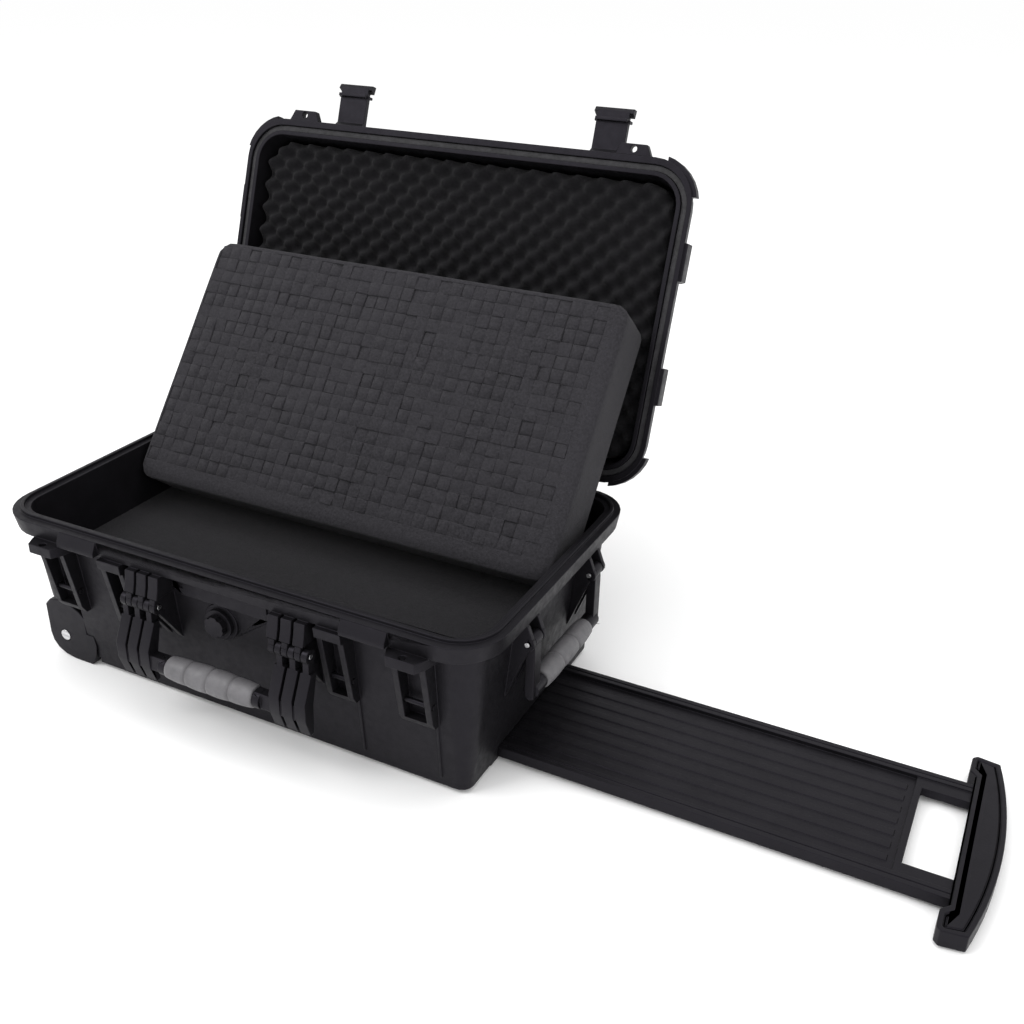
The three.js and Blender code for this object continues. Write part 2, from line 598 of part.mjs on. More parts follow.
function trolleyPlate() {
  const webBottom = TROLLEY_BOTTOM + 2;
  const [x0, x1] = [TROLLEY_INNER_END, TROLLEY_OUTER_END];
  const webHalf = railHalf - TROLLEY_RAIL;
  const parts = [
    box(x0, windowEnd, -webHalf - 1, webHalf + 1, webBottom, webBottom + TROLLEY_WEB),
    box(x0, x0 + 14, -webHalf - 1, webHalf + 1, TROLLEY_BOTTOM, trolleyTop),
    box(windowEnd - 6, windowEnd, -webHalf - 1, webHalf + 1, TROLLEY_BOTTOM + 1, trolleyTop - 1.5),
  ];
  for (const e of [-1, 1]) {
    const rail = box(x0, x1, ...pair([e * webHalf, e * railHalf]), TROLLEY_BOTTOM, trolleyTop);
    const groove = box(x0 + 20, x1 + 5, ...pair([e * (webHalf + 4.5), e * (webHalf + 6)]),
      trolleyTop - 1.2, 40);
    const cheek = box(windowEnd - 3, x1, ...pair([e * WINDOW_WIDTH / 2, e * (webHalf + 1)]),
      TROLLEY_BOTTOM + 1, trolleyTop - 1.5);
    parts.push(rail.subtract(groove), cheek);
  }
  const pitch = 2 * webHalf / (TROLLEY_RIBS + 1);
  for (let i = 1; i <= TROLLEY_RIBS; i++) {
    const y = -webHalf + i * pitch;
    parts.push(box(x0 + 10, windowEnd - 12, y - pitch / 4, y + pitch / 4, webBottom + 1,
      webBottom + TROLLEY_WEB + TROLLEY_RIB_HEIGHT));
  }
  return union(parts);
}

function bowShape(inset) {
  const half = TGRIP_WIDTH / 2 - inset;
  const rise = TGRIP_DEPTH - TGRIP_END_DEPTH;
  const radius = (TGRIP_WIDTH ** 2 / 4 + rise ** 2) / (2 * rise) - inset;
  const centre = TROLLEY_OUTER_END + TGRIP_DEPTH - radius - inset;
  const steps = 16;
  const points = [];
  for (let i = 0; i <= steps; i++) {
    const y = -half + 3 + (2 * half - 6) * i / steps;
    points.push([centre + Math.sqrt(radius ** 2 - y ** 2), y]);
  }
  const inner = TROLLEY_OUTER_END + inset + 0.3;
  const corner = 4 - inset / 2;
  const [wide, long] = TGRIP_LOBE;
  points.push([inner - long + corner, half], [inner - long, half - corner]);
  points.push([inner - long, half - wide + inset * 2], [inner, half - wide - long + inset * 2]);
  points.push([inner, -half + wide + long - inset * 2], [inner - long, -half + wide - inset * 2]);
  points.push([inner - long, -half + corner], [inner - long + corner, -half]);
  return outline(points);
}

function trolleyGrip() {
  const top = TGRIP_BOTTOM + TGRIP_HEIGHT;
  const bow = alongZ(bowShape(0), TGRIP_BOTTOM, top);
  const recess = alongZ(bowShape(4.5), top - 1.5, top + 5);
  const raised = alongZ(bowShape(6.5), top - 2, top - 0.2);
  return bow.subtract(recess.subtract(raised));
}

place('trolley_cover', trolleyCover(), partPlastic);
place('trolley_plate', trolleyPlate(), partPlastic);
place('trolley_grip', trolleyGrip(), partPlastic);

// ---- Wheels --------------------------------------------------------------------------------
function housingOutline() {
  const shape = new THREE.Shape();
  const [cx, cz, r] = [WHEEL_X, WHEEL_Z, HOUSING_RADIUS];
  const footEnd = cx + Math.sqrt(r ** 2 - cz ** 2);
  shape.moveTo(cx + 8, 0);
  shape.lineTo(footEnd, 0);
  shape.absarc(cx, cz, r, Math.atan2(-cz, footEnd - cx), Math.PI * 0.62, false);
  shape.lineTo(HOUSING_LEFT, cz + 32);
  shape.lineTo(HOUSING_LEFT, cz - 2);
  shape.quadraticCurveTo(HOUSING_LEFT + 1, 2, cx + 8, 0);
  return shape;
}

function wheelHousing(end) {
  const [inner, outer] = [wellY + GAP, WHEEL_Y + WHEEL_WIDTH / 2 + HOUSING_WALL];
  const grown = (size) => size.map((v) => v + 2 * GAP);
  const body = drafted(grown(outerBottom), grown(outerTop), CAVITY_RADIUS + WALL, SKIRT_BOTTOM - GAP,
    RIM_TOP);
  const keepOut = body.subtract(wheelRecess(end, -GAP));
  const slotHalf = WHEEL_WIDTH / 2 + 0.8;
  const slot = pair([end * (WHEEL_Y - slotHalf), end * (WHEEL_Y + slotHalf)]);
  const clearance = WHEEL_RADIUS + 2.5;
  const wheelSpace = union([
    cylinder('y', [WHEEL_X, WHEEL_Z], ...slot, clearance, 32),
    box(-320, WHEEL_X, ...slot, -5, WHEEL_Z + clearance),
    box(-320, WHEEL_X + clearance, ...slot, -5, WHEEL_Z),
  ]);
  return alongY(housingOutline(), ...pair([end * inner, end * outer]))
    .subtract(keepOut)
    .subtract(wheelSpace)
    .subtract(cylinder('y', [WHEEL_X, WHEEL_Z], -200, 200, AXLE_RADIUS + 0.3, 16))
    .subtract(cylinder('y', [WHEEL_X, WHEEL_Z], ...pair([end * (outer - 1.6), end * (outer + 5)]), 6.4,
      20));
}

function axle(end) {
  const outer = WHEEL_Y + WHEEL_WIDTH / 2 + HOUSING_WALL;
  const [y0, y1] = pair([end * (wellY + 2), end * (outer - 1)]);
  const head = cylinder('y', [WHEEL_X, WHEEL_Z], ...pair([end * (outer - 1.2), end * (outer + 0.6)]), 6,
    20);
  return cylinder('y', [WHEEL_X, WHEEL_Z], y0, y1, AXLE_RADIUS, 16).add(head);
}

function wheelHub() {
  const [half, rim, bore] = [WHEEL_WIDTH / 2, WHEEL_RADIUS - TYRE_THICKNESS, AXLE_RADIUS + 0.3];
  return turned([
    [bore, -half], [7, -half], [7, -half + 4], [rim - 3, -half + 4], [rim - 3, -half + 1], [rim, -half + 1],
    [rim, half - 1], [rim - 3, half - 1], [rim - 3, half - 4], [7, half - 4], [7, half], [bore, half],
      [bore, -half],
  ]);
}

function wheelTyre() {
  const [half, bore] = [WHEEL_WIDTH / 2, WHEEL_RADIUS - TYRE_THICKNESS + 0.3];
  return turned([
    [bore, -half + 1], [WHEEL_RADIUS - 3, -half + 1], [WHEEL_RADIUS - 0.6, -half + 4], [WHEEL_RADIUS, 0],
    [WHEEL_RADIUS - 0.6, half - 4], [WHEEL_RADIUS - 3, half - 1], [bore, half - 1], [bore, -half + 1],
  ]);
}

for (const [name, e] of ends) {
  place(`wheel_housing_${name}`, wheelHousing(e), partPlastic);
  place(`axle_${name}`, axle(e), steel);
  place(`wheel_hub_${name}`, wheelHub().translate([WHEEL_X, e * WHEEL_Y, WHEEL_Z]), partPlastic);
  place(`wheel_tyre_${name}`, wheelTyre().translate([WHEEL_X, e * WHEEL_Y, WHEEL_Z]), rubber);
}

// ---- Pressure valve ------------------------------------------------------------------------
const valveBodyFace = valveSeat - 4.3;

function valveBody() {
  return cylinder('y', VALVE_PLACE, valveBodyFace, valveSeat - 0.3, 15, 24)
    .subtract(cylinder('y', VALVE_PLACE, -200, 0, VALVE_STEM + 0.3, 20));
}

function valveKnob() {
  let knob = cylinder('y', VALVE_PLACE, valveBodyFace - GAP - 6, valveBodyFace - GAP, 11, 24);
  for (let i = 0; i < 6; i++) {
    const a = i * Math.PI / 3;
    const at = [VALVE_PLACE[0] + 12.5 * Math.cos(a), VALVE_PLACE[1] + 12.5 * Math.sin(a)];
    knob = knob.subtract(cylinder('y', at, -200, 0, 3, 10));
  }
  return knob.add(cylinder('y', VALVE_PLACE, valveBodyFace - GAP - 1, valveSeat + 3, VALVE_STEM, 20));
}

place('valve_body', valveBody(), partPlastic);
place('valve_knob', valveKnob(), partPlastic);

// ---- Handles -------------------------------------------------------------------------------
const gripZ = HANDLE_PIVOT_Z - HANDLE_DROP;
const gripY = handlePivot[0] - GRIP_OUT;

// one end of the front handle: three prongs with eyes, joined above the grip's core
function handleArm(side) {
  const [y, z] = handlePivot;
  const prong = outline([
    [y - 4, z], [y - 5, z - 16], [gripY - 7, gripZ + 14], [gripY - 7, gripZ - 4], [gripY - 1, gripZ - 22],
    [gripY + 4, gripZ - 22], [gripY + 6, gripZ + 8], [y + 3, z - 20], [y + 4, z],
  ]);
  const flare = outline([
    [y - 5, z - 16], [gripY - 7, gripZ + 14], [gripY - 7, gripZ - 4], [gripY - 1, gripZ - 22],
    [gripY + 4, gripZ - 22], [gripY + 6, gripZ + 8], [y + 3, z - 20], [y + 2.5, z - 16],
  ]);
  const prongs = knuckleSpans(side, 1).map(([x0, x1]) =>
    alongX(prong, x0, x1)
      .add(alongX(flare, x0 - FINGER_FLARE, x1 + FINGER_FLARE))
      .add(cylinder('x', [y, z], x0, x1, HANDLE_KNUCKLE)));
  const outer = HANDLE_LUG_PLACE + 3 * KNUCKLE_PITCH - KNUCKLE_GAP / 2;
  const foot = alongX(outline([
    [gripY - 5, gripZ + 9], [gripY - 6, gripZ - 6], [gripY - 1, gripZ - 10], [gripY + 3, gripZ - 10],
    [gripY + 5, gripZ + 9],
  ]), ...pair([side * (GRIP_LENGTH / 2 + 1), side * outer]));
  const collarSpan = pair([side * (GRIP_LENGTH / 2 + 0.4), side * (GRIP_LENGTH / 2 + 8)]);
  const collar = cylinder('x', [gripY, gripZ], ...collarSpan, 9.5);
  return union([...prongs, foot, collar])
    .subtract(cylinder('x', [y, z], ...pinSpan(side), PIN_RADIUS + PIN_CLEARANCE, 12));
}

function frontHandleFrame() {
  const core = cylinder('x', [gripY, gripZ], -GRIP_LENGTH / 2 - 4, GRIP_LENGTH / 2 + 4, GRIP_CORE);
  return union([core, handleArm(-1), handleArm(1)]);
}

// a sleeve with shallow grooves between its segments, turned about Y
function gripSleeve(length, radius, bore, segments) {
  const half = length / 2;
  const points = [[bore, -half], [radius - 2, -half]];
  for (let i = 0; i < segments; i++) {
    const [a, b] = [-half + length * i / segments, -half + length * (i + 1) / segments];
    points.push([radius - 0.3, a + 1.5], [radius, (a + b) / 2], [radius - 0.3, b - 1.5]);
    if (i < segments - 1) points.push([radius - 1.5, b]);
  }
  points.push([radius - 2, half], [bore, half], [bore, -half]);
  return turned(points, 16);
}

const frontGrip = gripSleeve(GRIP_LENGTH, GRIP_RADIUS, GRIP_CORE + 0.3, 4)
  .rotate([0, 0, 90]).translate([0, gripY, gripZ]);
place('front_handle_frame', frontHandleFrame(), partPlastic);
place('front_handle_grip', frontGrip, gripPlastic);

const sideGripZ = SIDE_PIVOT_Z - SIDE_DROP;

function sideArm(end) {
  const [x, z] = sidePivot;
  const [y0, y1] = pair([end * (SIDE_LUG_PLACE - SIDE_ARM_WIDTH / 2),
    end * (SIDE_LUG_PLACE + SIDE_ARM_WIDTH / 2)]);
  const bar = alongY(outline([
    [x - 4, z], [x - 4, sideGripZ - 4], [x, sideGripZ - 8], [x + 5, sideGripZ - 6], [x + 5, z - 8],
      [x + 4, z],
  ]), y0, y1);
  const shoulder = cylinder('y', [x, sideGripZ], ...pair([end * (SIDE_GRIP_LENGTH / 2 + 0.4),
    end * (SIDE_LUG_PLACE + 2)]), 8);
  return union([bar, shoulder, cylinder('y', [x, z], y0, y1, HANDLE_KNUCKLE - 0.4)])
    .subtract(cylinder('y', [x, z], ...sidePinSpan(end, 3), PIN_RADIUS + PIN_CLEARANCE, 12));
}

function sideHandleFrame() {
  const core = cylinder('y', [sidePivot[0], sideGripZ], -SIDE_LUG_PLACE, SIDE_LUG_PLACE, SIDE_CORE);
  return union([core, sideArm(-1), sideArm(1)]);
}

const sideGrip = gripSleeve(SIDE_GRIP_LENGTH, SIDE_GRIP_RADIUS, SIDE_CORE + 0.3, 3)
  .translate([sidePivot[0], 0, sideGripZ]);
place('side_handle_frame', sideHandleFrame(), partPlastic);
place('side_handle_grip', sideGrip, gripPlastic);

// ---- Lid, built closed ---------------------------------------------------------------------
const lidOuterLow = outerTop;
const lidOuterHigh = outerTop.map((v) => v - 2 * LID_DRAFT);

// two cheeks that carry a latch, the inner one with a long sloping shoulder
function latchEars(side) {
  const [y, z] = latchPivot;
  const profile = outline([
    [-bodyHalf(1, RIM_TOP) + 5, z - 11], [y - 5, z - 9.5], [y - 6.5, z - 3], [y - 6.5, z + 2],
    [y - 1, z + 7], [-bodyHalf(1, RIM_TOP) + 7, z + 20],
  ]);
  const half = LATCH_WIDTH / 2 + 0.6;
  const ear = (x0, x1) => alongX(profile, ...pair([side * x0, side * x1]));
  const shoulder = LATCH_PLACE - half - 5;
  const slope = alongZ(outline([
    [side * shoulder, y - 5], [side * (shoulder - 24), front + 12],
    [side * (shoulder - 24), front + 20], [side * shoulder, front + 20],
  ]), z - 8, z + 2);
  return union([
    ear(LATCH_PLACE - half - 6, LATCH_PLACE - half),
    ear(LATCH_PLACE + half, LATCH_PLACE + half + 6),
    slope,
  ]);
}

function lidSideRib(side, y) {
  const x = RIM_LENGTH / 2;
  const profile = outline([
    [side * (bodyHalf(0, RIM_TOP) - 6), lidBottom + 3], [side * (x + 3), lidBottom + 3],
    [side * (x + 3), lidBottom + 18], [side * (x - 8), lidTop - 8], [side * (bodyHalf(0, RIM_TOP) - 8),
      lidTop - 8],
  ]);
  return alongY(profile, y - 19, y + 19);
}

function cornerBumpers() {
  const grow = 4;
  const ring = alongZ(roundedRect(RIM_LENGTH + 2 * grow, RIM_WIDTH + 2 * grow, RIM_RADIUS + grow),
    lidBottom + 2.5, lidBottom + LID_RIM_DEPTH - 1);
  const [x, y] = [RIM_LENGTH / 2 - 34, RIM_WIDTH / 2 - 34];
  const corners = [[-1, -1], [1, -1], [1, 1], [-1, 1]].map(([sx, sy]) =>
    box(...pair([sx * x, sx * 400]), ...pair([sy * y, sy * 300]), 0, 400));
  return ring.intersect(union(corners));
}

function lidShell() {
  const body = drafted(lidOuterLow, lidOuterHigh, CAVITY_RADIUS + WALL, lidBottom, lidTop);
  const rim = drafted([RIM_LENGTH, RIM_WIDTH], [RIM_LENGTH - 4, RIM_WIDTH - 4], RIM_RADIUS,
    lidBottom, lidBottom + LID_RIM_DEPTH);
  const cavity = drafted([CAVITY_LENGTH, CAVITY_WIDTH],
    [CAVITY_LENGTH - 2 * LID_DRAFT, CAVITY_WIDTH - 2 * LID_DRAFT], CAVITY_RADIUS, lidBottom - 0.01,
      lidCavityTop);
  const ribs = [-88, 0, 88].map((y) => alongZ(roundedRect(400, 22, 10), lidTop - 1, lidTop + LID_RIB_HEIGHT)
    .translate([0, y, 0]));
  const hinges = HINGE_PLACES.map((x) => {
    const half = HINGE_LENGTH / 2 - HINGE_KNUCKLE - GAP;
    return hingeKnuckle(x - half, x + half, true);
  });
  let shell = union([
    body, rim, cornerBumpers(), ...ribs, ...hinges,
    ...sides.flatMap(([, s]) => [
      latchEars(s), haspTab(s, lidBottom + 1, lidBottom + 9, true), lidSideRib(s, -68), lidSideRib(s, 58),
    ]),
  ]);
  const groove = rimRing(TONGUE_INSET - 1.4, TONGUE_INSET + TONGUE_WIDTH + 1.4, lidBottom - 1, grooveTop);
  shell = shell.subtract(cavity).subtract(groove);
  for (const x of HINGE_PLACES) shell = shell.subtract(hingeBore(x));
  for (const [, s] of sides) {
    shell = shell.subtract(cylinder('x', latchPivot, ...latchPinSpan(s, 3), LATCH_PIN + PIN_CLEARANCE, 12));
  }
  return shell;
}

function latchPinSpan(side, extra) {
  const half = LATCH_WIDTH / 2 + 6 + extra;
  return pair([side * (LATCH_PLACE - half), side * (LATCH_PLACE + half)]);
}

const grooveTop = RIM_TOP + TONGUE_HEIGHT + 0.5 + SEAL_THICKNESS + 0.3;
const seal = rimRing(TONGUE_INSET - 1.1, TONGUE_INSET + TONGUE_WIDTH + 1.1,
  grooveTop - 0.3 - SEAL_THICKNESS, grooveTop - 0.3);

function lidFoam() {
  const inset = (v) => v - 2 * LID_DRAFT - 2;
  const top = lidCavityTop - GAP;
  return alongZ(roundedRect(inset(CAVITY_LENGTH), inset(CAVITY_WIDTH), CAVITY_RADIUS - 1),
    top - LID_FOAM_THICKNESS, top);
}

place('lid_shell', lidShell(), shellPlastic, lidGroup);
place('lid_seal', seal, rubber, lidGroup);
place('lid_foam', lidFoam(), darkFoam, lidGroup);

// ---- Latches, standing open on the lid --------------------------------------------------------
// drawn about the pivot, hanging down as when shut, with the hook towards the case
function latchLever() {
  const half = LATCH_WIDTH / 2;
  const [inner, outer] = [-LATCH_OFFSET, -LATCH_OFFSET - LATCH_PLATE];
  const hookTop = -catchDrop - 2.4;
  const arm = outline([
    [2, 5], [-7, 4.5], [outer, -6], [outer, -LATCH_LENGTH + 8], [inner, -LATCH_LENGTH + 3], [inner, -12],
    [-2, -5], [4, -3],
  ]);
  const plate = alongX(arm, -half + 2, half - 2);
  const hook = box(-half + 2, half - 2, outer + 2, front - latchPivot[0] - 1.5, hookTop - 3.5, hookTop);
  const ledge = box(-half, half, outer - 2.5, inner, -LATCH_LENGTH + 12, -LATCH_LENGTH + 15);
  const tip = alongX(outline([
    [outer - 2, -LATCH_LENGTH + 9], [outer - 4, -LATCH_LENGTH], [outer + 3, -LATCH_LENGTH],
    [inner, -LATCH_LENGTH + 5],
  ]), -half - 2, half + 2);
  const knuckle = cylinder('x', [0, 0], -half, half, LATCH_KNUCKLE);
  const channel = box(-half + 8, half - 8, outer - 4, outer + 3, -LATCH_LENGTH + 17, -10);
  return union([plate, hook, ledge, tip, knuckle])
    .subtract(channel)
    .subtract(cylinder('x', [0, 0], -half - 5, half + 5, LATCH_PIN + PIN_CLEARANCE, 12));
}

for (const [name, s] of sides) {
  const pin = cylinder('x', latchPivot, ...latchPinSpan(s, -0.4), LATCH_PIN, 12);
  place(`latch_pin_${name}`, pin, steel, lidGroup);
  const lever = latchLever().rotate([-90, 0, 0]).translate([s * LATCH_PLACE, ...latchPivot]);
  place(`latch_${name}`, lever, partPlastic, lidGroup);
}

// ---- Foam set ------------------------------------------------------------------------------
function foamFill(z0, z1, clearance) {
  const size = (z) => [2 * (cavityHalf(0, z) - clearance), 2 * (cavityHalf(1, z) - clearance)];
  let fill = drafted(size(z0), size(z1), CAVITY_RADIUS - clearance, z0, z1);
  for (const [, e] of ends) fill = fill.subtract(wheelRecess(e, wellWall + 0.8));
  return fill;
}

const padBottom = FLOOR_TOP + GAP;
const layerBottom = padBottom + PAD_THICKNESS + GAP;
place('base_foam_pad', foamFill(padBottom, padBottom + PAD_THICKNESS, 0.8), darkFoam);
place('base_foam_layer', foamFill(layerBottom, LAYER_TOP, 0.8), foam);

// the lifted block stands on the lower layer and leans on the lid's foam
const blockSize = [2 * (cavityHalf(0, LAYER_TOP) - 0.9), 2 * (cavityHalf(1, LAYER_TOP) - 0.9)];
const tilt = BLOCK_TILT * Math.PI / 180;
const leanHeight = LAYER_TOP + GAP + blockSize[1] * Math.sin(tilt);
const lidLean = Math.tan((LID_OPEN - 90) * Math.PI / 180);
const blockEdgeY = hingeY + (leanHeight - hingeZ) * lidLean - 1.5 - blockSize[1] * Math.cos(tilt);
const blockGroup = new THREE.Group();
blockGroup.position.set(0, blockEdgeY, LAYER_TOP + GAP);
blockGroup.rotation.x = tilt;
model.add(blockGroup);
place('foam_block', alongZ(roundedRect(...blockSize, BLOCK_RADIUS), 0, BLOCK_THICKNESS)
  .translate([0, blockSize[1] / 2, 0]), foam, blockGroup);

export default model;
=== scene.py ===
import json
import math
import random
import bmesh
import bpy
from mathutils import Matrix, Vector, noise


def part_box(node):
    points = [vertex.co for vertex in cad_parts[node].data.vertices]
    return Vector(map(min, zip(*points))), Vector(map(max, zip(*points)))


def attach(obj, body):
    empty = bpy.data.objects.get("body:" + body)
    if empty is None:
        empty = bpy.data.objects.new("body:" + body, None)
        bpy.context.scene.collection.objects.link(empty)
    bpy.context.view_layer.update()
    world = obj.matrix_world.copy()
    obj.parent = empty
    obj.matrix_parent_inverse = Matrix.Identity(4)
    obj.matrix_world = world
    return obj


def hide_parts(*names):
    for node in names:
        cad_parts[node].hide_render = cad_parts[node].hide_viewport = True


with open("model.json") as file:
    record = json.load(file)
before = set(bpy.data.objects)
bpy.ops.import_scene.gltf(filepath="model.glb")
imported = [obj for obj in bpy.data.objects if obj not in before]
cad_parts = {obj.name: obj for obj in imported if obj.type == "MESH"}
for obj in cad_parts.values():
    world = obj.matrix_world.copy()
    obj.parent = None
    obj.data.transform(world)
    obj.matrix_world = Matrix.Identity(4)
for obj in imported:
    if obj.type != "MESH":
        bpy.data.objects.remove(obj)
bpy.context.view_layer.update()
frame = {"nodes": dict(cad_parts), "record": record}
random.seed(7)

# Metres and radians. +X points to the trolley end, -Y to the latches, +Z up.
MM = 0.001
JOINTS = {j["name"]: j for j in frame["record"]["behaviour"]["joints"]}
HINGE = Vector(JOINTS["lid_hinge"]["pos_m"])
LID_OPEN = math.radians(JOINTS["lid_hinge"]["range_deg"][1])
BLOCK_TILT = math.radians(51.5)
BLOCK_THICKNESS = 58 * MM
BLOCK_RADIUS = 16 * MM
PLUCK_COLUMNS, PLUCK_ROWS = 35, 18
PLAIN_BORDER, CUT_BORDER = 20 * MM, 5 * MM
LEFT_BORDER = 4 * MM
CUT_HALF, CUT_SHOULDER = 0.2 * MM, 0.75 * MM
SHALLOW_CUT, DEEPER_CUT = 0.25 * MM, 0.95 * MM
SHOULDER_DROP = 0.12 * MM
CELL_STEP, CELL_LEAN = 0.4 * MM, 0.03
CRATE_PITCH, CRATE_DEPTH, CRATE_RADIUS = 26 * MM, 13 * MM, 29 * MM
CRATE_GRID = (200, 112)
EDGE_ROLL = 3 * MM
FOAM_EDGE = 1.6 * MM
BEVEL_ANGLE = math.radians(34)
TYRE_SECTION, TREAD_CROWN, TREAD_LINE = 7.7 * MM, 2.0 * MM, 0.35 * MM

NODE_BODY = {n: b for b, nodes in frame["record"]["behaviour"]["bodies"].items() for n in nodes}
NODE_SLOT = {s["node"]: s["material_slot"] for s in frame["record"]["subparts"]}


# ---- Materials -----------------------------------------------------------------------------
class Look:
    """A Principled material with helpers for layered procedural detail."""

    def __init__(self, name):
        self.material = bpy.data.materials.new(name)
        self.material.use_nodes = True
        self.tree = self.material.node_tree
        self.shader = self.tree.nodes["Principled BSDF"]
        self.place = self.tree.nodes.new("ShaderNodeTexCoord").outputs["Object"]

    def link(self, a, b):
        self.tree.links.new(a, b)

    def stretched(self, scale):
        node = self.tree.nodes.new("ShaderNodeMapping")
        node.inputs["Scale"].default_value = scale
        self.link(self.place, node.inputs["Vector"])
        return node.outputs["Vector"]

    def noise(self, scale, detail=4, rough=0.55, stretch=None):
        node = self.tree.nodes.new("ShaderNodeTexNoise")
        node.inputs["Scale"].default_value = scale
        node.inputs["Detail"].default_value = detail
        node.inputs["Roughness"].default_value = rough
        self.link(self.stretched(stretch) if stretch else self.place, node.inputs["Vector"])
        return node.outputs["Fac"]

    def cells(self, scale):
        node = self.tree.nodes.new("ShaderNodeTexVoronoi")
        node.inputs["Scale"].default_value = scale
        self.link(self.place, node.inputs["Vector"])
        return node.outputs["Distance"]

    def ramp(self, value, stops):
        node = self.tree.nodes.new("ShaderNodeValToRGB")
        self.link(value, node.inputs["Fac"])
        band = node.color_ramp
        for i, (at, color) in enumerate(stops):
            stop = band.elements[i] if i < 2 else band.elements.new(at)
            stop.position = at
            stop.color = (*color, 1)
        return node.outputs["Color"]

    def mix(self, share, a, b, mode="MIX"):
        node = self.tree.nodes.new("ShaderNodeMix")
        node.data_type = "RGBA"
        node.blend_type = mode
        self.link(share, node.inputs[0])
        for socket, value in ((node.inputs[6], a), (node.inputs[7], b)):
            if isinstance(value, tuple):
                socket.default_value = (*value, 1)
            else:
                self.link(value, socket)
        return node.outputs[2]

    def spread(self, value, low, high, from_low=0.3, from_high=0.7):
        node = self.tree.nodes.new("ShaderNodeMapRange")
        self.link(value, node.inputs["Value"])
        limits = {"From Min": from_low, "From Max": from_high, "To Min": low, "To Max": high}
        for name, number in limits.items():
            node.inputs[name].default_value = number
        return node.outputs["Result"]

    def color(self, output):
        self.link(output, self.shader.inputs["Base Color"])

    def rough(self, output):
        self.link(output, self.shader.inputs["Roughness"])

    def bumps(self, layers):
        """layers: (height output, strength, distance in metres), fine to coarse."""
        last = None
        for height, strength, distance in layers:
            node = self.tree.nodes.new("ShaderNodeBump")
            node.inputs["Strength"].default_value = strength
            node.inputs["Distance"].default_value = distance
            self.link(height, node.inputs["Height"])
            if last:
                self.link(last, node.inputs["Normal"])
            last = node.outputs["Normal"]
        self.link(last, self.shader.inputs["Normal"])


COOL = (1.0, 0.955, 1.09)
NEUTRAL = (1.0, 0.97, 1.03)


def tone(value, tint=COOL):
    return tuple(value * t for t in tint)


def plastic(name, level, rough_low, rough_high, grain):
    look = Look(name)
    look.shader.inputs["Specular IOR Level"].default_value = 0.15
    look.shader.inputs["Specular Tint"].default_value = (1, 0.93, 1.15, 1)
    broad, fine = look.noise(22, 5), look.noise(650, 3)
    body = look.ramp(broad, [(0.3, tone(level * 0.78)), (0.7, tone(level * 1.25))])
    specks = look.spread(look.noise(1500, 2), 0, 1, 0.66, 0.72)
    scuffs = look.spread(look.noise(60, 8, 0.75, (1, 1, 6)), 0, 0.5, 0.62, 0.75)
    dusty = look.mix(specks, body, tone(level * 2.6))
    look.color(look.mix(scuffs, dusty, tone(level * 2.2)))
    look.rough(look.spread(look.noise(140, 6), rough_low, rough_high))
    dust = look.noise(2200, 2)
    look.bumps([(fine, grain, 0.3 * MM), (dust, grain * 0.8, 0.15 * MM), (broad, 0.08, 0.6 * MM)])
    return look.material


def foam_look(name, level, pores, sheen=0.05):
    look = Look(name)
    open_cells, coarse = look.cells(1250), look.noise(420, 6, 0.7)
    body = look.ramp(coarse, [(0.32, tone(level * 0.55)), (0.68, tone(level * 1.5))])
    look.color(look.mix(look.spread(look.noise(9, 4), 0, 0.45), body, tone(level * 1.35)))
    look.shader.inputs["Sheen Weight"].default_value = sheen
    look.shader.inputs["Specular IOR Level"].default_value = 0.1
    look.rough(look.spread(coarse, 0.86, 0.98))
    look.bumps([(open_cells, pores, 0.0005), (coarse, pores * 0.7, 0.0008)])
    return look.material


def rubber_look():
    look = Look("rubber_black")
    broad = look.noise(55, 6, 0.65)
    look.color(look.ramp(broad, [(0.3, tone(0.008)), (0.75, tone(0.03))]))
    look.rough(look.spread(look.noise(300, 4), 0.62, 0.85))
    look.bumps([(look.noise(1100, 3), 0.25, 0.0003), (broad, 0.15, 0.0006)])
    return look.material


def steel_look():
    look = Look("steel_pins")
    streak = look.noise(420, 4, 0.6, (0.08, 1, 1))
    look.color(look.ramp(streak, [(0.3, (0.42, 0.42, 0.43)), (0.7, (0.68, 0.68, 0.69))]))
    look.shader.inputs["Metallic"].default_value = 1
    look.rough(look.spread(look.noise(200, 5), 0.22, 0.42))
    look.bumps([(streak, 0.12, 0.0002)])
    return look.material


def grip_look():
    look = Look("grip_grey")
    broad = look.noise(70, 6, 0.65)
    worn = look.ramp(broad, [(0.3, tone(0.085, NEUTRAL)), (0.72, tone(0.13, NEUTRAL))])
    grime = look.spread(look.noise(28, 7, 0.7), 0, 0.4, 0.55, 0.75)
    look.color(look.mix(grime, worn, (0.05, 0.047, 0.05)))
    look.rough(look.spread(look.noise(240, 4), 0.45, 0.68))
    look.bumps([(look.noise(1300, 3), 0.25, 0.0003), (broad, 0.12, 0.0006)])
    return look.material


MATERIALS = {
    "shell": plastic("shell_black", 0.0052, 0.38, 0.56, 0.3),
    "fittings": plastic("fittings_black", 0.005, 0.34, 0.5, 0.2),
    "grip": grip_look(),
    "rubber": rubber_look(),
    "steel": steel_look(),
    "foam": foam_look("foam_charcoal", 0.024, 0.75),
    "dark_foam": foam_look("foam_dark", 0.0105, 0.8),
}
# The lid's foam is the same foam as the base layer; this copy is set darker as painted shade for the
# light inside the lid.
LID_FOAM_SHADED_LOOK = foam_look("foam_dark_lid_shaded", 0.008, 0.8, 0.04)


